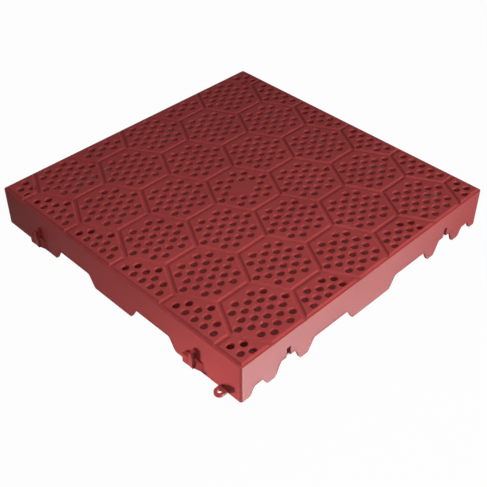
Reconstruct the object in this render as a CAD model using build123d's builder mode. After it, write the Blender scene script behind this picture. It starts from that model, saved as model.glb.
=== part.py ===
"""Interlocking perforated paving tile, moulded in one piece of plastic.

A square deck of hexagonal pads, drilled all over for drainage, stands on a skirt
with arched openings and on a honeycomb of ribs and round feet. Two neighbouring
sides carry hooks and an eyelet, and the other two have the slots that take them.
"""

import os

from build123d import *

# Deck
side = 400.0
height = 52.0
deck_thickness = 3.0
groove_depth = 1.8
groove_floor_width = 2.8
groove_slope = 49.0
edge_ledge = 1.8

# Honeycomb, centred on the tile and cut off by its sides
cell_width = 80.8
row_pitch = 66.45
cells_across = 5
rows_deep = 6

# Drain holes
hole_diameter = 8.0
hole_spacing = 13.73
hole_row_pitch = 11.35
hole_edge_margin = 6.0
blank_diameter = 30.0
right_group_turn = 3.2
back_group_turn = 6.0

# Skirt, ribs and feet
skirt_thickness = 2.6
skirt_corner_radius = 3.0
skirt_top_radius = 1.0
rib_thickness = 2.5
rib_depth = 12.0
foot_diameter = 11.0
centre_foot_diameter = 16.0

# Arches in the skirt: place along the side, width at the floor and at the crown, rise
duct_arch_centre = 67.5
duct_arch_base = 71.0
duct_arch_crown = 53.5
duct_arch_rise = 15.5
hook_centre = 133.33
hook_arch_base = 36.0
hook_arch_crown = 22.0
hook_arch_rise = 17.0
hook_slot_width = 6.0
hook_slot_top = 30.0
ring_centre = 175.5
ring_arch_base = 23.0
ring_arch_crown = 13.0
ring_arch_rise = 11.0
arch_crown_radius = 4.0
arch_foot_radius = 3.0

# Hooks and eyelets on the two male sides
hook_lug_width = 27.0
hook_lug_nose = 25.0
hook_lug_reach = 5.0
hook_lug_bottom = 2.5
hook_lug_height = 12.0
hook_fin_thickness = 4.5
hook_fin_reach = 6.5
hook_fin_top = 25.5
ring_reach = 6.0
ring_outer_diameter = 12.0
ring_eye_diameter = 5.0
ring_thickness = 3.0

half = side / 2
deck_top = height - groove_depth
deck_bottom = height - deck_thickness
rib_bottom = deck_bottom - rib_depth
hook_lug_top = hook_lug_bottom + hook_lug_height
cell_flat = row_pitch * 2 / 3

up = Vector(0, 0, 1)
front = Plane(origin=(0, -half, 0), x_dir=(1, 0, 0), z_dir=(0, -1, 0))
left = Plane(origin=(-half, 0, 0), x_dir=(0, -1, 0), z_dir=(-1, 0, 0))
right = Plane(origin=(half, 0, 0), x_dir=(0, 1, 0), z_dir=(1, 0, 0))
back = Plane(origin=(0, half, 0), x_dir=(-1, 0, 0), z_dir=(0, 1, 0))


def cell_centres():
    """Centres of the honeycomb cells that lie on the tile or across its sides, odd rows moved by half a cell."""
    centres = []
    for row in range(-(rows_deep // 2), rows_deep // 2 + 1):
        shift = (row % 2) * cell_width / 2
        for column in range(-cells_across, cells_across + 1):
            x = column * cell_width + shift
            if abs(x) < half + cell_width / 4:
                centres.append((x, row * row_pitch))
    return centres


def cell_corners(centre, inset):
    """Corners of one honeycomb cell, drawn in from its outline by the inset on every side."""
    x, y = centre
    slope = (row_pitch - cell_flat) / (cell_width / 2)
    half_width = cell_width / 2 - inset
    apex = row_pitch - cell_flat / 2 - inset * (1 + slope**2) ** 0.5
    shoulder = apex - half_width * slope
    upper = [(half_width, shoulder), (0, apex), (-half_width, shoulder)]
    return [(x + u, y + v) for u, v in upper] + [(x - u, y - v) for u, v in upper]


def foot_places():
    """Corners where three cells meet, wherever a whole foot stands clear of the skirt."""
    reach = half - skirt_thickness - foot_diameter / 2
    corners = [corner for centre in cell_centres() for corner in cell_corners(centre, 0)]
    inside = [corner for corner in corners if max(map(abs, corner)) < reach]
    return sorted({(round(x, 3), round(y, 3)) for x, y in inside})


def group_turn(x, y):
    """Angle by which a cell's group of holes sits turned: two groups are off the straight rows."""
    if (x, y) == (cell_width, 0):
        return -right_group_turn
    if (x, y) == (cell_width / 2, row_pitch):
        return -back_group_turn
    return 0


def group_centre(x, y):
    """Middle of a cell's group of holes: drawn in to the +X side, and half a spacing in at the -X corners."""
    if x > half:
        return Vector(half, y)
    if x < -half and abs(y) > half - row_pitch:
        return Vector(x + hole_spacing / 2, y)
    return Vector(x, y)


def hole_places():
    """Drain holes in staggered rows on every cell, clear of the tile's edge and of its middle."""
    holes_in_row = {0: 4, 1: 5, 2: 4, 3: 1}
    places = []
    for x, y in cell_centres():
        for row in range(-3, 4):
            count = holes_in_row[abs(row)]
            for column in range(count):
                offset = Vector((column - (count - 1) / 2) * hole_spacing, row * hole_row_pitch)
                place = group_centre(x, y) + offset.rotate(Axis.Z, group_turn(x, y))
                on_deck = max(abs(place.X), abs(place.Y)) < half - hole_edge_margin
                if on_deck and place.length > blank_diameter / 2:
                    places.append((place.X, place.Y))
    return places


def arch(centre, base, crown, rise):
    """Corner points of an arch with sloping sides, in order along the skirt's lower edge."""
    near = [(centre - base / 2, 0), (centre - crown / 2, rise)]
    far = [(centre + crown / 2, rise), (centre + base / 2, 0)]
    return near, far


def slot():
    """Corner points of the upright slot in the crown of the hook arch."""
    near = hook_centre - hook_slot_width / 2
    far = hook_centre + hook_slot_width / 2
    return [(near, hook_arch_rise), (near, hook_slot_top), (far, hook_slot_top), (far, hook_arch_rise)]


def skirt_panel(plane, openings, crowns):
    """Outline of one side of the skirt, the same left and right of its middle."""
    points = openings + [(half, 0), (half, deck_top)]
    mirrored = [(-x, z) for x, z in reversed(points)]
    with BuildSketch(plane) as panel:
        with BuildLine():
            Polyline(*points, *mirrored, close=True)
        make_face()
        feet = vertices().filter_by(lambda corner: corner.Y < 0.01 and abs(corner.X) < half - 0.01)
        fillet(feet, arch_foot_radius)
        tops = [corner for corner in vertices() if (round(abs(corner.X), 3), round(corner.Y, 3)) in crowns]
        fillet(tops, arch_crown_radius)
    return panel.sketch


def rounded_crowns(*arches):
    """Crown corners of the arches, as places along the side and heights."""
    corners = [corner for near, far in arches for corner in (near[1], far[0])]
    return {(round(x, 3), round(z, 3)) for x, z in corners}


def plan(plane, along, top):
    """Level plane at a height on one side, X along the side and Y straight out of it."""
    return Plane(origin=plane.from_local_coords((along, top, 0)), x_dir=plane.x_dir, z_dir=-up)


def hook_lug(plane, along, hand):
    """Plan of a hook's lug, square at its heel and curving back to the wall at its nose."""
    heel = -hand * hook_lug_width / 2
    toe = hand * hook_lug_width / 2
    nose = toe - hand * hook_lug_nose
    with BuildSketch(plan(plane, along, hook_lug_top)) as lug:
        with BuildLine():
            Polyline((toe, 0), (heel, 0), (heel, hook_lug_reach), (nose, hook_lug_reach))
            TangentArc((nose, hook_lug_reach), (toe, 0), tangent=(hand, 0))
        make_face()
    return lug.sketch


def hook_fin(plane, along):
    """Side view of the upright fin on a hook, which drops into a neighbour's slot."""
    foot = plane.from_local_coords((along, 0, 0))
    bevel = hook_fin_reach - hook_lug_reach
    with BuildSketch(Plane(origin=foot, x_dir=plane.z_dir, z_dir=plane.z_dir.cross(up))) as fin:
        with BuildLine():
            Polyline(
                (0, hook_lug_bottom),
                (hook_lug_reach, hook_lug_bottom),
                (hook_fin_reach, hook_lug_top),
                (hook_fin_reach, hook_fin_top - bevel),
                (hook_lug_reach, hook_fin_top),
                (0, hook_fin_top),
                close=True,
            )
        make_face()
    return fin.sketch


def eyelet(plane, along):
    """Plan of the flat tab on the floor, with a round end and an eye through it."""
    with BuildSketch(plan(plane, along, ring_thickness)) as tab:
        with Locations((0, ring_reach / 2)):
            Rectangle(ring_outer_diameter, ring_reach)
        with Locations((0, ring_reach)):
            Circle(ring_outer_diameter / 2)
            Circle(ring_eye_diameter / 2, mode=Mode.SUBTRACT)
    return tab.sketch


duct_near, duct_far = arch(duct_arch_centre, duct_arch_base, duct_arch_crown, duct_arch_rise)
hook_near, hook_far = arch(hook_centre, hook_arch_base, hook_arch_crown, hook_arch_rise)
ring_near, ring_far = arch(ring_centre, ring_arch_base, ring_arch_crown, ring_arch_rise)
crowns = rounded_crowns((duct_near, duct_far), (hook_near, hook_far), (ring_near, ring_far))
male_edge = duct_near + duct_far
female_edge = male_edge + hook_near + slot() + hook_far + ring_near + ring_far

with BuildPart() as tile:
    # Deck, with its outer corners and rim rounded
    with BuildSketch(Plane.XY.offset(deck_bottom)):
        Rectangle(side, side)
    extrude(amount=deck_top - deck_bottom)

    # Skirt
    for plane in (front, left):
        extrude(skirt_panel(plane, male_edge, crowns), amount=-skirt_thickness)
    for plane in (right, back):
        extrude(skirt_panel(plane, female_edge, crowns), amount=-skirt_thickness)
    upright = tile.edges().filter_by(Axis.Z)
    outer = upright.filter_by(lambda edge: abs(edge.center().X) + abs(edge.center().Y) > side - 0.01)
    fillet(outer, skirt_corner_radius)
    fillet(tile.faces().sort_by(Axis.Z)[-1].outer_wire().edges(), skirt_top_radius)

    # Hexagonal pads, standing above the grooves with sloping sides
    with BuildSketch(Plane.XY.offset(deck_top)):
        for centre in cell_centres():
            Polygon(*cell_corners(centre, groove_floor_width / 2), align=None)
        Rectangle(side - 2 * edge_ledge, side - 2 * edge_ledge, mode=Mode.INTERSECT)
    extrude(amount=groove_depth, taper=groove_slope)

    # Honeycomb of ribs under the grooves
    with BuildSketch(Plane.XY.offset(rib_bottom)):
        Rectangle(side - skirt_thickness, side - skirt_thickness)
        for centre in cell_centres():
            Polygon(*cell_corners(centre, rib_thickness / 2), align=None, mode=Mode.SUBTRACT)
    extrude(amount=rib_depth)

    # Feet at the corners of the honeycomb and in the middle
    with BuildSketch(Plane.XY):
        with Locations(*foot_places()):
            Circle(foot_diameter / 2)
        Circle(centre_foot_diameter / 2)
    extrude(amount=deck_bottom)

    # Hooks and eyelets, mirrored about the tile's diagonal
    for plane, hand in ((front, 1), (left, -1)):
        for along in (-hook_centre, hook_centre):
            extrude(hook_lug(plane, along, hand), amount=hook_lug_height)
            extrude(hook_fin(plane, along), amount=hook_fin_thickness / 2, both=True)
        extrude(eyelet(plane, hand * ring_centre), amount=ring_thickness)

    # Drain holes
    with BuildSketch(Plane.XY.offset(height)):
        with Locations(*hole_places()):
            Circle(hole_diameter / 2)
    extrude(amount=deck_bottom - height, mode=Mode.SUBTRACT)

tile.part.label = "tile"

os.makedirs("parts", exist_ok=True)
export_step(tile.part, "parts/tile.step")
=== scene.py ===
"""Brick-red perforated paving tile on a pale floor: the looks of a deck of drilled hexagonal pads,
its arched skirt, ribs and feet, and its hooks and eyelets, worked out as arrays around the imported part."""

import math

import bpy
import numpy as np
from mathutils import Matrix, Vector
from mathutils.geometry import delaunay_2d_cdt


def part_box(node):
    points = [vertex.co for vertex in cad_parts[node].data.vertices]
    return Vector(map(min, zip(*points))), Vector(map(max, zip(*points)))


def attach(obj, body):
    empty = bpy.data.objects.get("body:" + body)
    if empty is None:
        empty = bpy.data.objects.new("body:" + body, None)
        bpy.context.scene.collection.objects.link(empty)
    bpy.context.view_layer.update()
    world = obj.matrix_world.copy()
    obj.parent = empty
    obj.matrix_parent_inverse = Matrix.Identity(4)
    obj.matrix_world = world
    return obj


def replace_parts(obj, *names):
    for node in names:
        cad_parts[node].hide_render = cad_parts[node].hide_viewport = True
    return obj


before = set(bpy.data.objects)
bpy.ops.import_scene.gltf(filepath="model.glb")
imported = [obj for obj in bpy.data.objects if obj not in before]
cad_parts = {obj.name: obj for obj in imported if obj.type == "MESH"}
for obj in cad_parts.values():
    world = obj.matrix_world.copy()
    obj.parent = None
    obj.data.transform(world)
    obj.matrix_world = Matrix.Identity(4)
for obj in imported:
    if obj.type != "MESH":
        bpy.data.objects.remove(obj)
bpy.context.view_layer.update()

# Sizes in millimetres, the same as in the part; the mesh itself is in metres
MM = 0.001
SIDE = 400.0
HALF = SIDE / 2
HEIGHT = round(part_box("tile")[1][2] / MM, 4)
DECK_THICKNESS = 3.0
GROOVE_DEPTH = 1.8
GROOVE_FLOOR_WIDTH = 2.8
GROOVE_SLOPE_WIDTH = 2.07
EDGE_LEDGE = 1.8
CELL_WIDTH = 80.8
ROW_PITCH = 66.45
CELLS_ACROSS = 5
ROWS_DEEP = 6
HOLE_RADIUS = 4.0
HOLE_SPACING = 13.73
HOLE_ROW_PITCH = 11.35
HOLE_EDGE_MARGIN = 6.0
HOLE_SLOPE_GAP = 0.4
HOLES_IN_ROW = {0: 4, 1: 5, 2: 4, 3: 1}
HOLE_SIDES = 16
RIM_WIDTH = 1.4
RIM_DROP = 1.7
BLANK_DIAMETER = 30.0
RIGHT_GROUP_TURN = 3.2
BACK_GROUP_TURN = 6.0
SKIRT_THICKNESS = 2.6
CORNER_RADIUS = 3.0
TOP_EDGE_RADIUS = 1.0
RIB_THICKNESS = 2.5
RIB_DEPTH = 12.0
FOOT_RADIUS = 5.5
CENTRE_FOOT_RADIUS = 8.0
FOOT_SIDES = 24
HOOK_CENTRE = 133.33
RING_CENTRE = 175.5
DUCT_ARCH = dict(centre=67.5, base=71.0, crown=53.5, rise=15.5)
HOOK_ARCH = dict(centre=HOOK_CENTRE, base=36.0, crown=22.0, rise=17.0)
RING_ARCH = dict(centre=RING_CENTRE, base=23.0, crown=13.0, rise=11.0)
ARCH_SOFTENING = 2.0
HOOK_SLOT_WIDTH = 6.0
HOOK_SLOT_TOP = 30.0
LUG_WIDTH = 27.0
LUG_NOSE = 25.0
LUG_REACH = 5.0
LUG_BOTTOM = 2.5
LUG_TOP = 14.5
FIN_THICKNESS = 4.5
FIN_REACH = 6.5
FIN_TOP = 25.5
RING_REACH = 6.0
RING_RADIUS = 5.97
EYE_RADIUS = 2.5
EYE_SIDES = 20
RING_THICKNESS = 3.0
ROOT_DEPTH = 1.2

# Fine steps of the meshes, in millimetres
NORMAL_STEP = 0.05
SLOT_FLANK_STEP = 0.01
CLOSEST_PLACES = 0.015
SAME_LEVEL = 0.01

DECK_TOP = HEIGHT - GROOVE_DEPTH
DECK_BOTTOM = HEIGHT - DECK_THICKNESS
RIB_BOTTOM = DECK_BOTTOM - RIB_DEPTH
CELL_SLOPE = ROW_PITCH / 3 / (CELL_WIDTH / 2)
CELL_APEX = ROW_PITCH * 2 / 3


def cell_centres():
    """Middles of the honeycomb cells: rows a pitch apart, odd rows moved by half a cell."""
    row_numbers = np.arange(-ROWS_DEEP // 2, ROWS_DEEP // 2 + 1)
    rows, columns = np.meshgrid(row_numbers, np.arange(-CELLS_ACROSS, CELLS_ACROSS + 1))
    x = (columns + (rows % 2) / 2) * CELL_WIDTH
    y = rows * ROW_PITCH
    on_tile = np.abs(x) < HALF + CELL_WIDTH / 4
    return np.c_[x[on_tile], y[on_tile]]


def cell_corners(centre, inset):
    """Six corners of one cell, drawn in from its outline by the inset on every side."""
    half_width = CELL_WIDTH / 2 - inset
    apex = CELL_APEX - inset * math.hypot(1, CELL_SLOPE)
    shoulder = apex - half_width * CELL_SLOPE
    upper = np.array([(half_width, shoulder), (0, apex), (-half_width, shoulder)])
    return centre + np.r_[upper, -upper]


def depth_in_cell(points):
    """Distance from each point to the outline of the cell that it lies in: the largest, over the cells,
    of the smaller of the distances to the upright sides and to the sloping sides."""
    away = np.abs(points[:, None, :] - cell_centres()[None])
    to_upright = CELL_WIDTH / 2 - away[..., 0]
    to_sloping = (CELL_APEX - away[..., 1] - CELL_SLOPE * away[..., 0]) / math.hypot(1, CELL_SLOPE)
    return np.minimum(to_upright, to_sloping).max(axis=1)


def pad_height(points):
    """Height of the walking surface: up from the groove floor to the pad in a straight slope, by the
    distance from the nearest groove floor or edge ledge."""
    from_groove = depth_in_cell(points) - GROOVE_FLOOR_WIDTH / 2
    from_ledge = HALF - EDGE_LEDGE - np.abs(points).max(axis=1)
    t = np.clip(np.minimum(from_groove, from_ledge) / GROOVE_SLOPE_WIDTH, 0, 1)
    return DECK_TOP + GROOVE_DEPTH * t


def pad_normal(points):
    """Normals of the walking surface, from differences of its height over a small step each way."""
    dx = pad_height(points + [NORMAL_STEP, 0]) - pad_height(points - [NORMAL_STEP, 0])
    dy = pad_height(points + [0, NORMAL_STEP]) - pad_height(points - [0, NORMAL_STEP])
    normal = np.c_[-dx, -dy, np.full(len(points), 2 * NORMAL_STEP)]
    return normal / np.linalg.norm(normal, axis=1, keepdims=True)


def hole_places():
    """Middles of the drain holes: staggered rows of 1, 4, 5, 4, 5, 4 and 1 on each cell, two groups turned,
    the groups of the +X side drawn in, their outermost holes clear of the pads' slopes, and those of the -X
    corners moved in by half a spacing."""
    group = np.array([
        ((column - (HOLES_IN_ROW[abs(row)] - 1) / 2) * HOLE_SPACING, row * HOLE_ROW_PITCH)
        for row in range(-3, 4)
        for column in range(HOLES_IN_ROW[abs(row)])
    ])
    places = []
    for x, y in cell_centres():
        turn = 0.0
        if np.allclose((x, y), (CELL_WIDTH, 0)):
            turn = -math.radians(RIGHT_GROUP_TURN)
        if np.allclose((x, y), (CELL_WIDTH / 2, ROW_PITCH)):
            turn = -math.radians(BACK_GROUP_TURN)
        if x > HALF:
            x = HALF
        if x < -HALF and abs(y) > HALF - ROW_PITCH:
            x = x + HOLE_SPACING / 2
        spin = np.array([[math.cos(turn), math.sin(turn)], [-math.sin(turn), math.cos(turn)]])
        places.append(group @ spin + [x, y])
    places = np.concatenate(places)
    on_deck = np.abs(places).max(axis=1) < HALF - HOLE_EDGE_MARGIN
    places = places[on_deck & (np.hypot(*places.T) > BLANK_DIAMETER / 2)]
    return np.minimum(places, HALF - EDGE_LEDGE - GROOVE_SLOPE_WIDTH - HOLE_RADIUS - HOLE_SLOPE_GAP)


def foot_places():
    """Corners where three cells meet, wherever a whole foot stands clear of the skirt."""
    corners = np.concatenate([cell_corners(centre, 0) for centre in cell_centres()])
    reach = HALF - SKIRT_THICKNESS - FOOT_RADIUS
    return np.unique(corners[np.abs(corners).max(axis=1) < reach].round(3), axis=0)


def circles(centres, radius, sides):
    """Points of one circle round each centre, as an array of centres by sides by two."""
    angle = np.arange(sides) * 2 * math.pi / sides
    return np.asarray(centres)[:, None, :] + radius * np.c_[np.cos(angle), np.sin(angle)][None]


def clipped(polygon, limit):
    """A convex polygon cut off at the four sides of a square of that half width, one side after another."""
    for axis, sign in ((0, 1), (0, -1), (1, 1), (1, -1)):
        if len(polygon) == 0:
            return polygon
        ahead = np.roll(polygon, -1, axis=0)
        room = limit - sign * polygon[:, axis]
        room_ahead = np.roll(room, -1)
        share = room / np.where(room == room_ahead, 1, room - room_ahead)
        crossing = polygon + share[:, None] * (ahead - polygon)
        crossing[:, axis] = sign * limit
        both = np.stack([polygon, crossing], axis=1)
        keep = np.stack([room >= 0, (room > 0) != (room_ahead > 0)], axis=1)
        polygon = both[keep]
    return polygon


def cell_lines(inset, limit):
    """Outlines of all the cells drawn in by the inset and cut off at a square of that half width."""
    lines = [clipped(cell_corners(centre, inset), limit) for centre in cell_centres()]
    return [line for line in lines if len(line) > 2]


def arch_height(along, centre, base, crown, rise):
    """Height of an arch with sloping sides, the same both sides of the middle, its corners softened by a
    running mean over a short stretch."""
    stretch = along[:, None] + ARCH_SOFTENING * np.linspace(-1, 1, 13)
    ramp = (base / 2 - np.abs(np.abs(stretch) - centre)) / ((base - crown) / 2)
    return rise * np.clip(ramp, 0, 1).mean(axis=1)


def skirt_edge(along, female):
    """Height of the skirt's lower edge: duct arches on every side, and the hook arches with their slots
    and the eyelet arches on the female sides."""
    height = arch_height(along, **DUCT_ARCH)
    if female:
        height = np.maximum(height, arch_height(along, **HOOK_ARCH))
        height = np.maximum(height, arch_height(along, **RING_ARCH))
        in_slot = np.abs(np.abs(along) - HOOK_CENTRE) < HOOK_SLOT_WIDTH / 2
        height = np.where(in_slot, HOOK_SLOT_TOP, height)
    return height


def side_places():
    """Places along one side: an even spread, closer together at the arches' corners, and a pair on each
    flank of the slots."""
    end = HALF - CORNER_RADIUS
    spread = np.linspace(-end, end, 91)
    corners = [arch["centre"] + hand * arch[width] / 2 for arch in (DUCT_ARCH, HOOK_ARCH, RING_ARCH)
               for width in ("base", "crown") for hand in (-1, 1)]
    close = (np.array(corners)[:, None] + ARCH_SOFTENING * np.linspace(-1, 1, 7)).ravel()
    flanks = np.array([HOOK_CENTRE + hand * HOOK_SLOT_WIDTH / 2 + step for hand in (-1, 1)
                       for step in (-SLOT_FLANK_STEP, SLOT_FLANK_STEP)])
    places = np.r_[spread, close, -close, flanks, -flanks]
    places = np.unique(places[np.abs(places) <= end].round(3))
    return places[np.r_[True, np.diff(places) > CLOSEST_PLACES]]


def outline():
    """The tile's outline, once round: four straight sides joined by quarter circles. Gives the points, the
    outward directions and the height of the skirt's lower edge at each."""
    along = side_places()
    quarter = np.linspace(0, math.pi / 2, 7)[1:-1]
    points, outward, lower = [], [], []
    for turn, female in ((0, False), (1, True), (2, True), (3, False)):
        spin = np.linalg.matrix_power(np.array([[0, 1], [-1, 0]]), turn)
        side = np.c_[along, np.full(len(along), -HALF)] @ spin
        points.append(side)
        outward.append(np.tile(np.array([0, -1]) @ spin, (len(along), 1)))
        lower.append(skirt_edge(along, female))
        arc = np.c_[np.sin(quarter), -np.cos(quarter)]
        middle = np.array([HALF - CORNER_RADIUS, CORNER_RADIUS - HALF])
        points.append((middle + CORNER_RADIUS * arc) @ spin)
        outward.append(arc @ spin)
        lower.append(np.zeros(len(quarter)))
    return np.concatenate(points), np.concatenate(outward), np.concatenate(lower)


def quads_between(first, second):
    """Four-cornered faces between two closed rows of points, the last joined to the first."""
    rows = [first, np.roll(first, -1, axis=-2), np.roll(second, -1, axis=-2), second]
    return np.stack(rows, axis=-2).reshape(-1, 4, 3)


class Shell:
    """Faces gathered as arrays of corner places and corner normals, then joined into one mesh."""

    def __init__(self):
        self.places, self.normals, self.sizes = [], [], []

    def add(self, places, normals):
        """Faces as an array of faces by corners by three, with a normal at each corner."""
        self.places.append(places.reshape(-1, 3))
        self.normals.append(np.broadcast_to(normals, places.shape).reshape(-1, 3))
        self.sizes.append(np.full(len(places), places.shape[1]))

    def band(self, first, second, first_normal, second_normal):
        """Faces between two closed rows of points; the second row lies to the left of the first, seen from
        outside along its direction."""
        self.add(quads_between(first, second), quads_between(first_normal, second_normal))

    def mesh(self, name):
        """One mesh with points closer than a micrometre joined, smooth faces and the corner normals given."""
        places = np.concatenate(self.places) * MM
        keys, corner = np.unique(np.round(places * 1e6).astype(np.int64), axis=0, return_inverse=True)
        corner = corner.ravel()
        points = np.zeros((len(keys), 3))
        points[corner] = places
        sizes = np.concatenate(self.sizes)
        starts = np.r_[0, np.cumsum(sizes)[:-1]]
        mesh = bpy.data.meshes.new(name)
        mesh.vertices.add(len(points))
        mesh.vertices.foreach_set("co", points.ravel())
        mesh.loops.add(len(corner))
        mesh.loops.foreach_set("vertex_index", corner.astype(np.int32))
        mesh.polygons.add(len(sizes))
        mesh.polygons.foreach_set("loop_start", starts.astype(np.int32))
        mesh.update(calc_edges=True)
        mesh.polygons.foreach_set("use_smooth", np.ones(len(sizes), dtype=bool))
        mesh.validate()
        mesh.normals_split_custom_set(np.concatenate(self.normals))
        return mesh


def raised(points, height):
    """Points of a plan lifted to a height, one for all or one for each."""
    return np.concatenate([points, np.broadcast_to(height, points.shape[:-1])[..., None]], axis=-1)


def level(directions):
    """Directions of a plan as level normals."""
    return raised(directions, 0.0)


def side_normals(plan):
    """Level normals of the sides of a counterclockwise plan: each side's direction turned right."""
    along = np.roll(plan, -1, axis=0) - plan
    return level(np.c_[along[:, 1], -along[:, 0]] / np.linalg.norm(along, axis=1, keepdims=True))


def triangles(loops, tags):
    """The plane cut into triangles along closed lines. Gives the points, the tag of the line that each
    point comes from (-1 for a new one) and the triangles, counterclockwise."""
    starts = np.r_[0, np.cumsum([len(loop) for loop in loops])]
    edges = np.concatenate([
        np.c_[np.arange(a, b), np.r_[np.arange(a + 1, b), a]] for a, b in zip(starts[:-1], starts[1:])
    ])
    given = np.concatenate(loops)
    tag_of = np.repeat(tags, np.diff(starts))
    result = delaunay_2d_cdt([Vector(p) for p in given.tolist()], edges.tolist(), [], 0, 1e-5, True)
    points = np.array([tuple(p) for p in result[0]])
    sources = [min(source) if source else -1 for source in result[3]]
    tag = np.where(np.array(sources) < 0, -1, tag_of[np.array(sources)])
    faces = np.array(result[2])
    a, b, c = (points[faces[:, i]] for i in range(3))
    area = (b[:, 0] - a[:, 0]) * (c[:, 1] - a[:, 1]) - (b[:, 1] - a[:, 1]) * (c[:, 0] - a[:, 0])
    faces[area < 0] = faces[area < 0][:, ::-1]
    return points, tag, faces[np.abs(area) > 1e-9]


def in_outline(points, inset):
    """Whether points lie in the tile's rounded square, drawn in by the inset."""
    radius = CORNER_RADIUS - inset
    past = np.abs(points) - (HALF - CORNER_RADIUS)
    beyond = np.hypot(*np.maximum(past, 0).T)
    return np.maximum(beyond, past.max(axis=1)) < max(radius, 0.0) + 1e-6


def walking_surface(shell, holes):
    """Deck's top: the plan cut into triangles along the pads' slopes and the hole rims, lifted to the
    height of the pads, and the rims as a quarter of an ellipse turned about each hole."""
    points, outward, _ = outline()
    edge = points - TOP_EDGE_RADIUS * outward
    rims = circles(holes, HOLE_RADIUS + RIM_WIDTH, HOLE_SIDES)
    loops, tags = [edge], [-2]
    for share in (0.0, 1.0):
        rise = share * GROOVE_SLOPE_WIDTH
        lines = cell_lines(GROOVE_FLOOR_WIDTH / 2 + rise, HALF - EDGE_LEDGE - rise)
        loops += lines
        tags += [-3] * len(lines)
    loops += list(rims)
    tags += list(range(len(rims)))
    plan, tag, faces = triangles(loops, np.array(tags))
    corner_tags = tag[faces]
    in_hole = (corner_tags[:, 0] >= 0) & (corner_tags == corner_tags[:, :1]).all(axis=1)
    faces = faces[in_outline(plan[faces].mean(axis=1), TOP_EDGE_RADIUS) & ~in_hole]
    top = raised(plan, pad_height(plan))[faces]
    within = plan[faces] + 0.2 * (plan[faces].mean(axis=1, keepdims=True) - plan[faces])
    shell.add(top, pad_normal(within.reshape(-1, 2)).reshape(top.shape))

    spoke = circles(np.zeros((1, 2)), 1.0, HOLE_SIDES)[0]
    bend = np.radians([0, 45, 90])
    radii = HOLE_RADIUS + RIM_WIDTH * (1 - np.sin(bend))
    drops = RIM_DROP * (1 - np.cos(bend))
    rows, normals = [], []
    for angle, radius, drop in zip(bend, radii, drops):
        ring = holes[:, None, :] + radius * spoke
        surface = pad_height(ring.reshape(-1, 2)).reshape(ring.shape[:2])
        rows.append(raised(ring, np.minimum(surface, HEIGHT - drop)))
        lean = np.array([RIM_DROP * math.sin(angle), RIM_WIDTH * math.cos(angle)])
        lean = lean / np.linalg.norm(lean)
        normals.append(np.broadcast_to(raised(-lean[0] * spoke, lean[1]), rows[-1].shape))
    normals[0] = pad_normal(rows[0][..., :2].reshape(-1, 2)).reshape(rows[0].shape)
    for k in range(2):
        shell.band(rows[k], rows[k + 1], normals[k], normals[k + 1])
    foot = rows[-1].copy()
    foot[..., 2] = DECK_BOTTOM
    shell.band(rows[-1], foot, normals[-1], normals[-1])


def outer_wall(shell):
    """Skirt's outside: the rounded top edge as a quarter circle carried along the outline, and the plain
    wall from it down to the arched lower edge."""
    points, outward, lower = outline()
    rows, normals = [], []
    for angle in np.radians([0, 30, 60, 90]):
        place = points - TOP_EDGE_RADIUS * (1 - math.sin(angle)) * outward
        rows.append(raised(place, DECK_TOP - TOP_EDGE_RADIUS * (1 - math.cos(angle))))
        normals.append(raised(outward * math.sin(angle), math.cos(angle)))
    rows.append(raised(points, lower))
    normals.append(level(outward))
    for k in range(len(rows) - 1):
        shell.band(rows[k + 1], rows[k], normals[k + 1], normals[k])


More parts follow.
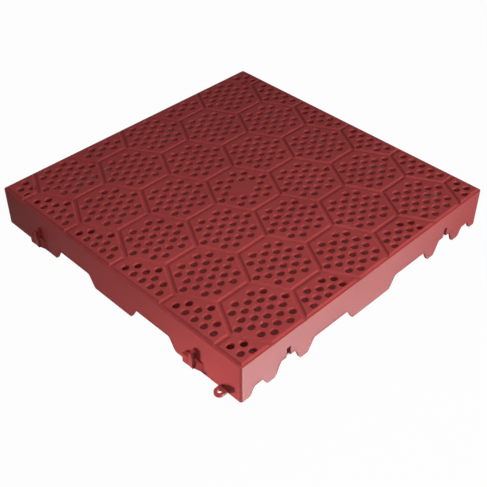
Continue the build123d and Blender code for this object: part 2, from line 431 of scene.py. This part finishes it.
def underside(shell, holes):
    """Tile from below, in terraces: the plan cut into triangles along the skirt, ribs, feet and holes, each
    triangle at the level of what it lies on, with upright walls where two levels meet."""
    points, outward, lower = outline()
    inner = points - SKIRT_THICKNESS * outward
    feet = foot_places()
    loops = [points, inner] + cell_lines(RIB_THICKNESS / 2, HALF - SKIRT_THICKNESS)
    loops += list(circles(feet, FOOT_RADIUS, FOOT_SIDES))
    loops += list(circles(np.zeros((1, 2)), CENTRE_FOOT_RADIUS, FOOT_SIDES))
    tags = [-1] * len(loops) + list(range(len(holes)))
    loops += list(circles(holes, HOLE_RADIUS, HOLE_SIDES))
    plan, tag, faces = triangles(loops, np.array(tags))
    corner_tags = tag[faces]
    in_hole = (corner_tags[:, 0] >= 0) & (corner_tags == corner_tags[:, :1]).all(axis=1)
    middle = plan[faces].mean(axis=1)
    faces = faces[in_outline(middle, 0.0) & ~in_hole]
    middle = plan[faces].mean(axis=1)

    on_rib = depth_in_cell(middle) < RIB_THICKNESS / 2
    from_foot = np.sqrt(((middle[:, None, :] - feet[None]) ** 2).sum(axis=-1)).min(axis=1)
    on_foot = (from_foot < FOOT_RADIUS) | (np.hypot(*middle.T) < CENTRE_FOOT_RADIUS)
    on_skirt = ~in_outline(middle, SKIRT_THICKNESS)
    base = np.where(on_rib, RIB_BOTTOM, DECK_BOTTOM)
    base = np.where(on_foot, 0.0, base)
    along = np.where(np.abs(plan[:, 0]) > np.abs(plan[:, 1]), plan[:, 1], plan[:, 0])
    female = np.where(np.abs(plan[:, 0]) > np.abs(plan[:, 1]), plan[:, 0], plan[:, 1]) > 0
    edge_height = np.where(female, skirt_edge(along, True), skirt_edge(along, False))
    corner_height = np.where(on_skirt[:, None], edge_height[faces], base[:, None])

    down = np.array([0.0, 0.0, -1.0])
    places = raised(plan[faces], corner_height)[:, ::-1]
    facing = np.cross(places[:, 1] - places[:, 0], places[:, 2] - places[:, 0])
    facing = facing / np.linalg.norm(facing, axis=1, keepdims=True)
    shell.add(places, np.where(on_skirt[:, None, None], facing[:, None, :], down))

    # Every edge of a triangle beside its neighbour's
    count = len(plan)
    start, end = faces.ravel(), np.roll(faces, -1, axis=1).ravel()
    owner = np.repeat(np.arange(len(faces)), 3)
    start_height = corner_height.ravel()
    end_height = np.roll(corner_height, -1, axis=1).ravel()
    key, other_key = start * count + end, end * count + start
    order = np.argsort(key)
    found = np.searchsorted(key[order], other_key).clip(0, len(key) - 1)
    twin = order[found]
    paired = key[twin] == other_key
    void = np.flatnonzero(paired)
    solid = twin[void]
    ceiling_height = base * ~on_skirt
    higher = ceiling_height[owner[void]] > ceiling_height[owner[solid]] + SAME_LEVEL
    void, solid = void[higher], solid[higher]
    low_start, low_end = end_height[solid], start_height[solid]
    for floor, ceiling in ((0.0, RIB_BOTTOM), (RIB_BOTTOM, DECK_BOTTOM)):
        reaches = start_height[void] > ceiling - SAME_LEVEL
        spans = reaches & (np.maximum(low_start, low_end) < ceiling - SAME_LEVEL)
        a, b = plan[start[void[spans]]], plan[end[void[spans]]]
        foot_a, foot_b = np.maximum(low_start[spans], floor), np.maximum(low_end[spans], floor)
        corners = [raised(b, foot_b), raised(a, foot_a), raised(a, ceiling), raised(b, ceiling)]
        wall = np.stack(corners, axis=1)
        across = np.c_[a[:, 1] - b[:, 1], b[:, 0] - a[:, 0]]
        across = across / np.linalg.norm(across, axis=1, keepdims=True)
        shell.add(wall, np.broadcast_to(level(across)[:, None, :], wall.shape))


def prism(shell, plan, low, high):
    """Closed block on a plan: the outline at two heights, joined by a band, and its two ends as fans from
    their middles."""
    outline_low, outline_high = raised(plan, low), raised(plan, high)
    sides = quads_between(outline_low, outline_high)
    shell.add(sides, side_normals(plan)[:, None, :])
    for end, sign in ((outline_low, -1), (outline_high, 1)):
        middle = np.broadcast_to(end.mean(axis=0), end.shape)
        fan = np.stack([middle, end, np.roll(end, -1, axis=0)], axis=1)
        shell.add(fan[:, ::sign], np.array([0.0, 0.0, float(sign)]))


def lug_plan():
    """Plan of a hook's lug, X along the side and Y straight out: square at its heel, and then an arc of a
    circle that leaves the outer side at a tangent and comes back to the wall at the toe."""
    heel, toe = -LUG_WIDTH / 2, LUG_WIDTH / 2
    radius = (LUG_NOSE**2 + LUG_REACH**2) / (2 * LUG_REACH)
    run = np.linspace(0, LUG_NOSE, 11)
    nose = np.c_[toe - (LUG_NOSE - run), LUG_REACH - radius + np.sqrt(radius**2 - run**2)]
    plan = np.r_[[(toe, -ROOT_DEPTH), (heel, -ROOT_DEPTH), (heel, LUG_REACH)], nose]
    return plan[::-1]


def hooks(shell, eyelets):
    """Hooks and eyelets of the two male sides, mirrored about the diagonal: lugs as blocks on their plan,
    fins as blocks on their side view laid upright, and eyelets as a round-ended tab with an eye."""
    for front in (True, False):
        def placed(local):
            """Points with X along the side, Y straight out and Z up, put on the front or on the left side."""
            x, y, z = local[..., 0], local[..., 1], local[..., 2]
            if front:
                return np.stack([x, -HALF - y, z], axis=-1)
            return np.stack([-HALF - y, x, z], axis=-1)

        for along in (-HOOK_CENTRE, HOOK_CENTRE):
            block = Shell()
            prism(block, lug_plan(), LUG_BOTTOM, LUG_TOP)
            fin = Shell()
            bevel = FIN_REACH - LUG_REACH
            profile = np.array([
                (-ROOT_DEPTH, LUG_BOTTOM), (LUG_REACH, LUG_BOTTOM), (FIN_REACH, LUG_TOP),
                (FIN_REACH, FIN_TOP - bevel), (LUG_REACH, FIN_TOP), (-ROOT_DEPTH, FIN_TOP),
            ])
            prism(fin, profile, -FIN_THICKNESS / 2, FIN_THICKNESS / 2)
            for piece, order in ((block, (0, 1, 2)), (fin, (2, 0, 1))):
                for places, normals, sizes in zip(piece.places, piece.normals, piece.sizes):
                    local = places[:, order] + [along, 0, 0]
                    corners = placed(local).reshape(len(sizes), -1, 3)
                    facing = (placed(normals[:, order]) - placed(np.zeros(3))).reshape(corners.shape)
                    if front:
                        corners, facing = corners[:, ::-1], facing[:, ::-1]
                    shell.add(corners, facing)

        spread = np.linspace(0, math.pi, 17)
        tab = np.r_[[(-RING_RADIUS, -ROOT_DEPTH), (RING_RADIUS, -ROOT_DEPTH)],
                    np.c_[RING_RADIUS * np.cos(spread), RING_REACH + RING_RADIUS * np.sin(spread)]]
        eye = circles(np.array([[0.0, RING_REACH]]), EYE_RADIUS, EYE_SIDES)[0]
        plan, tag, faces = triangles([tab, eye], np.array([0, 1]))
        faces = faces[~(tag[faces] == 1).all(axis=1)]
        parts = Shell()
        for height, sign in ((0.0, -1), (RING_THICKNESS, 1)):
            parts.add(raised(plan, height)[faces][:, ::sign], np.array([0.0, 0.0, float(sign)]))
        for ring, inside in ((tab, 1), (eye, -1)):
            wall = quads_between(raised(ring, 0.0), raised(ring, RING_THICKNESS))[:, ::inside]
            parts.add(wall, inside * side_normals(ring)[:, None, :])
        for places, normals, sizes in zip(parts.places, parts.normals, parts.sizes):
            corners = placed(places + [RING_CENTRE, 0, 0]).reshape(len(sizes), -1, 3)
            facing = (placed(normals) - placed(np.zeros(3))).reshape(corners.shape)
            if front:
                corners, facing = corners[:, ::-1], facing[:, ::-1]
            eyelets.add(corners, facing)


def grain_group():
    """Fine mould texture: a dimpled height for bump, a slow drift of tone and a drift of gloss."""
    group = bpy.data.node_groups.new("mould grain", "ShaderNodeTree")
    for name in ("Pimple scale", "Drift scale"):
        group.interface.new_socket(name, in_out="INPUT", socket_type="NodeSocketFloat")
    for name in ("Height", "Tone", "Gloss"):
        group.interface.new_socket(name, in_out="OUTPUT", socket_type="NodeSocketFloat")
    node, link = group.nodes.new, group.links.new
    source, sink = node("NodeGroupInput"), node("NodeGroupOutput")
    place = node("ShaderNodeTexCoord")
    pimples, drift = node("ShaderNodeTexNoise"), node("ShaderNodeTexNoise")
    drift.inputs["Detail"].default_value = 4.0
    link(place.outputs["Object"], pimples.inputs["Vector"])
    link(place.outputs["Object"], drift.inputs["Vector"])
    link(source.outputs["Pimple scale"], pimples.inputs["Scale"])
    link(source.outputs["Drift scale"], drift.inputs["Scale"])
    link(pimples.outputs["Fac"], sink.inputs["Height"])
    link(drift.outputs["Fac"], sink.inputs["Tone"])
    gloss = node("ShaderNodeMath")
    gloss.operation = "ADD"
    link(pimples.outputs["Fac"], gloss.inputs[0])
    link(drift.outputs["Fac"], gloss.inputs[1])
    link(gloss.outputs[0], sink.inputs["Gloss"])
    return group


DARK_RED = (0.325, 0.045, 0.045, 1.0)
BRICK_RED = (0.365, 0.053, 0.053, 1.0)


def red_plastic(grain):
    """Brick-red satin plastic: two close reds mixed by the drift, a fine grain in the gloss and the bump."""
    material = bpy.data.materials.new("brick red plastic")
    material.use_nodes = True
    tree = material.node_tree
    shader = tree.nodes["Principled BSDF"]
    shader.inputs["Specular IOR Level"].default_value = 0.05
    grained = tree.nodes.new("ShaderNodeGroup")
    grained.node_tree = grain
    grained.inputs["Pimple scale"].default_value = 1400.0
    grained.inputs["Drift scale"].default_value = 18.0
    tones = tree.nodes.new("ShaderNodeValToRGB")
    tones.color_ramp.elements[0].position, tones.color_ramp.elements[1].position = 0.30, 0.62
    tones.color_ramp.elements[0].color, tones.color_ramp.elements[1].color = DARK_RED, BRICK_RED
    gloss = tree.nodes.new("ShaderNodeMapRange")
    gloss.inputs["From Min"].default_value, gloss.inputs["From Max"].default_value = 0.6, 1.4
    gloss.inputs["To Min"].default_value, gloss.inputs["To Max"].default_value = 0.46, 0.60
    bump = tree.nodes.new("ShaderNodeBump")
    bump.inputs["Strength"].default_value = 0.25
    bump.inputs["Distance"].default_value = 0.0002
    tree.links.new(grained.outputs["Tone"], tones.inputs["Fac"])
    tree.links.new(tones.outputs["Color"], shader.inputs["Base Color"])
    tree.links.new(grained.outputs["Gloss"], gloss.inputs["Value"])
    tree.links.new(gloss.outputs["Result"], shader.inputs["Roughness"])
    tree.links.new(grained.outputs["Height"], bump.inputs["Height"])
    tree.links.new(bump.outputs["Normal"], shader.inputs["Normal"])
    return material


def piece(mesh, material):
    """An object of the tile at the origin, riding on its body, in the tile's own material slot."""
    made = bpy.data.objects.new(mesh.name, mesh)
    bpy.context.scene.collection.objects.link(made)
    mesh.materials.append(material)
    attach(made, "root")
    return made


plastic = red_plastic(grain_group())
holes = hole_places()
body = Shell()
walking_surface(body, holes)
outer_wall(body)
underside(body, holes)
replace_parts(piece(body.mesh("tile_body"), plastic), "tile")
hook_shell, eyelet_shell = Shell(), Shell()
hooks(hook_shell, eyelet_shell)
piece(hook_shell.mesh("tile_hooks"), plastic)
piece(eyelet_shell.mesh("tile_eyelets"), plastic)

# Floor: white to the eye and in reflections; grey paint behind the tile, where its shadow lies, a painted
# shadow with the real shadow falling in it; and under the tile painted shade, dark red to the eye, and a
# painted grey glow that lights the tile from below in place of bounced light
FLOOR_SIZE = 12.0
FLOOR_WHITE_SHARE = 0.975
FLOOR_GREY = (0.42, 0.42, 0.42, 1.0)
# Square behind the tile, where its shadow lies, left without the white: a painted shadow, with the real
# shadow falling in it
SHADOW_SHIFT = 0.038
SHADOW_REACH = (0.188, 0.200)
# Painted shade: dark red that the eye sees under the tile, through its holes and arches, in place of the
# shaded hollow
UNDER_TILE_PAINTED_SHADE = (0.097, 0.017, 0.0165, 1.0)
# Painted glow: grey light given off under the tile, lighting its underside in place of bounced light
UNDER_TILE_PAINTED_GLOW = (0.65, 0.65, 0.65, 1.0)
# Squares of the painted shade, for the eye, and of the painted glow, for the tile
PAINTED_SHADE_SHIFT = 0.0047
PAINTED_SHADE_REACH = (0.1905, 0.1940)
PAINTED_GLOW_REACH = (0.1964, 0.1974)


def seen_directly(tree):
    """Socket that is 1 for rays from the eye, from glossy reflections and through glass."""
    path = tree.nodes.new("ShaderNodeLightPath")
    first, second = tree.nodes.new("ShaderNodeMath"), tree.nodes.new("ShaderNodeMath")
    first.operation = second.operation = "MAXIMUM"
    tree.links.new(path.outputs["Is Camera Ray"], first.inputs[0])
    tree.links.new(path.outputs["Is Glossy Ray"], first.inputs[1])
    tree.links.new(first.outputs[0], second.inputs[0])
    tree.links.new(path.outputs["Is Transmission Ray"], second.inputs[1])
    return second.outputs[0]


def outside_square(tree, shift, reach):
    """Socket that rises from 0 within a square to 1 outside it: by the larger of the two distances from the
    square's middle, which is moved towards -X and +Y by the shift."""
    def part(kind, operation, *inputs):
        made = tree.nodes.new(kind)
        made.operation = operation
        for socket, value in zip(made.inputs, inputs):
            if isinstance(value, (float, tuple)):
                socket.default_value = value
            else:
                tree.links.new(value, socket)
        return made.outputs[0]

    place = tree.nodes.new("ShaderNodeTexCoord")
    moved = part("ShaderNodeVectorMath", "ADD", place.outputs["Object"], (shift, -shift, 0.0))
    away = tree.nodes.new("ShaderNodeSeparateXYZ")
    tree.links.new(part("ShaderNodeVectorMath", "ABSOLUTE", moved), away.inputs[0])
    farther = part("ShaderNodeMath", "MAXIMUM", away.outputs["X"], away.outputs["Y"])
    rise = tree.nodes.new("ShaderNodeMapRange")
    rise.interpolation_type = "SMOOTHSTEP"
    rise.inputs["From Min"].default_value, rise.inputs["From Max"].default_value = reach
    tree.links.new(farther, rise.inputs["Value"])
    return rise.outputs["Result"]


def pale_floor():
    """Large level square under the tile: plain white mixed with a little of its shade, its shade alone behind
    the tile, where its shadow lies (a painted shadow with the real shadow in it), and under the tile painted
    shade, dark red to the eye, and a painted grey glow that lights the tile in place of bounced light. It
    casts no shadow, so the lamps under it reach the walls."""
    mesh = bpy.data.meshes.new("floor")
    reach = FLOOR_SIZE / 2
    corners = [(-reach, -reach, 0), (reach, -reach, 0), (reach, reach, 0), (-reach, reach, 0)]
    mesh.from_pydata(corners, [], [(0, 1, 2, 3)])
    floor = bpy.data.objects.new("floor", mesh)
    bpy.context.scene.collection.objects.link(floor)
    floor.visible_shadow = False
    material = bpy.data.materials.new("pale floor")
    material.use_nodes = True
    tree = material.node_tree
    tree.nodes.clear()
    out = tree.nodes.new("ShaderNodeOutputMaterial")
    open_floor, whole_floor = tree.nodes.new("ShaderNodeMixShader"), tree.nodes.new("ShaderNodeMixShader")
    shade, white = tree.nodes.new("ShaderNodeBsdfDiffuse"), tree.nodes.new("ShaderNodeEmission")
    # One emission under the tile: painted shade, dark red to the eye, and a painted glow, grey to the tile
    under = tree.nodes.new("ShaderNodeEmission")
    shade.inputs["Color"].default_value = FLOOR_GREY
    painted_under_colour = tree.nodes.new("ShaderNodeMix")
    painted_under_colour.data_type = "RGBA"
    painted_under_colour.inputs["A"].default_value, painted_under_colour.inputs["B"].default_value = UNDER_TILE_PAINTED_GLOW, UNDER_TILE_PAINTED_SHADE
    tree.links.new(seen_directly(tree), painted_under_colour.inputs["Factor"])
    tree.links.new(painted_under_colour.outputs["Result"], under.inputs["Color"])
    share, seen_share = tree.nodes.new("ShaderNodeMath"), tree.nodes.new("ShaderNodeMath")
    share.operation = seen_share.operation = "MULTIPLY"
    share.inputs[1].default_value = FLOOR_WHITE_SHARE
    tree.links.new(outside_square(tree, SHADOW_SHIFT, SHADOW_REACH), share.inputs[0])
    tree.links.new(share.outputs[0], seen_share.inputs[0])
    tree.links.new(seen_directly(tree), seen_share.inputs[1])
    tree.links.new(seen_share.outputs[0], open_floor.inputs["Fac"])
    tree.links.new(shade.outputs[0], open_floor.inputs[1])
    tree.links.new(white.outputs[0], open_floor.inputs[2])
    # Under the tile the painted shade and the painted glow take over from the open floor
    open_share = tree.nodes.new("ShaderNodeMix")
    tree.links.new(seen_directly(tree), open_share.inputs["Factor"])
    tree.links.new(outside_square(tree, 0.0, PAINTED_GLOW_REACH), open_share.inputs["A"])
    tree.links.new(outside_square(tree, PAINTED_SHADE_SHIFT, PAINTED_SHADE_REACH), open_share.inputs["B"])
    tree.links.new(open_share.outputs["Result"], whole_floor.inputs["Fac"])
    tree.links.new(under.outputs[0], whole_floor.inputs[1])
    tree.links.new(open_floor.outputs[0], whole_floor.inputs[2])
    tree.links.new(whole_floor.outputs[0], out.inputs["Surface"])
    mesh.materials.append(material)


# Sheet under the floor: its depth in millimetres, and the steps sideways, for each step up, of the light
# that comes from under the floor on the right and in front
SHEET_DEPTH = 0.5
RIGHT_LEAN = (1.11, 0.36)
FRONT_LEAN = (-0.73, -1.00)


def floor_sheet():
    """Opaque sheet just under the floor, as large as the tile, that keeps the lamps under the floor out of
    the tile and off the fins. Its edge is the tile's outline, moved out before each arch of the right and
    front sides by the arch's height times the lean of the light, and under each lug of the front side by the
    lug's reach."""
    points, outward, lower = outline()
    front = outward[:, 1:] < -0.9
    lean = np.where(outward[:, :1] > 0.9, RIGHT_LEAN, 0.0) + np.where(front, FRONT_LEAN, 0.0)
    under_lug = front & (np.abs(np.abs(points[:, :1]) - HOOK_CENTRE) < LUG_WIDTH / 2)
    edge = points + np.minimum(lower, HOOK_ARCH["rise"])[:, None] * lean - under_lug * [0.0, LUG_REACH]
    mesh = bpy.data.meshes.new("floor_sheet")
    mesh.from_pydata((raised(edge, -SHEET_DEPTH) * MM).tolist(), [], [tuple(range(len(edge)))])
    sheet = bpy.data.objects.new("floor_sheet", mesh)
    bpy.context.scene.collection.objects.link(sheet)


def pale_room(strength):
    """Plain grey room light, white where it is seen directly."""
    world = bpy.data.worlds.new("pale room")
    bpy.context.scene.world = world
    world.use_nodes = True
    tree = world.node_tree
    back = tree.nodes["Background"]
    lift = tree.nodes.new("ShaderNodeMapRange")
    lift.inputs["To Min"].default_value, lift.inputs["To Max"].default_value = strength, 1.0
    tree.links.new(seen_directly(tree), lift.inputs["Value"])
    tree.links.new(lift.outputs["Result"], back.inputs["Strength"])
    back.inputs["Color"].default_value = (1.0, 1.0, 1.0, 1.0)


def softbox(name, place, aim, width, height, watts, beam=180.0, shade=True, sheen=True):
    """Rectangular lamp at a place in metres, facing the aim, with a grid that keeps its light in a beam. It
    lights the surface itself, its sheen, or both."""
    lamp = bpy.data.lights.new(name, "AREA")
    lamp.shape, lamp.size, lamp.size_y, lamp.energy = "RECTANGLE", width, height, watts
    lamp.spread = math.radians(beam)
    box = bpy.data.objects.new(name, lamp)
    bpy.context.scene.collection.objects.link(box)
    box.location = place
    box.visible_camera, box.visible_diffuse, box.visible_glossy = False, shade, sheen
    box.rotation_euler = (Vector(aim) - Vector(place)).to_track_quat("-Z", "Y").to_euler()


def photo_camera():
    """Camera at the photograph's angle: its place, the way it looks and the way its picture's right side
    points, from the tile's eight corners in the picture."""
    data = bpy.data.cameras.new("camera")
    data.sensor_width, data.lens = 36.0, 65.52
    camera = bpy.data.objects.new("camera", data)
    bpy.context.scene.collection.objects.link(camera)
    ahead = Vector((-0.5408, 0.5404, -0.6446)).normalized()
    right = Vector((0.7055, 0.7087, 0.0024))
    right = (right - ahead * right.dot(ahead)).normalized()
    up = right.cross(ahead)
    place = Matrix.Translation((0.5975, -0.5949, 0.6766))
    camera.matrix_world = place @ Matrix((right, up, -ahead)).transposed().to_4x4()
    bpy.context.scene.camera = camera


UNDER_LAMPS = (-0.358, -0.686, -0.488)
FRONT_CORNER = (0.2, -0.2, 0.025)
pale_floor()
floor_sheet()
pale_room(0.09)
softbox("overhead", (0.30, -0.30, 1.25), (0.30, -0.30, 0.0), 0.30, 0.30, 1.48, 75.0)
softbox("right key", (1.25, 0.0, 0.43), (0.1, -0.10, 0.03), 0.24, 0.24, 12.6)
softbox("under light", UNDER_LAMPS, FRONT_CORNER, 0.20, 0.20, 0.44, 48.8, sheen=False)
softbox("front under light", UNDER_LAMPS, FRONT_CORNER, 0.08, 0.08, 0.075, 15.9, sheen=False)
softbox("right sheen", (0.66, 0.098, -0.415), (0.2, -0.049, 0.025), 0.40, 0.40, 3.8, 25.7, shade=False)
photo_camera()
bpy.context.scene.view_settings.view_transform = "Standard"
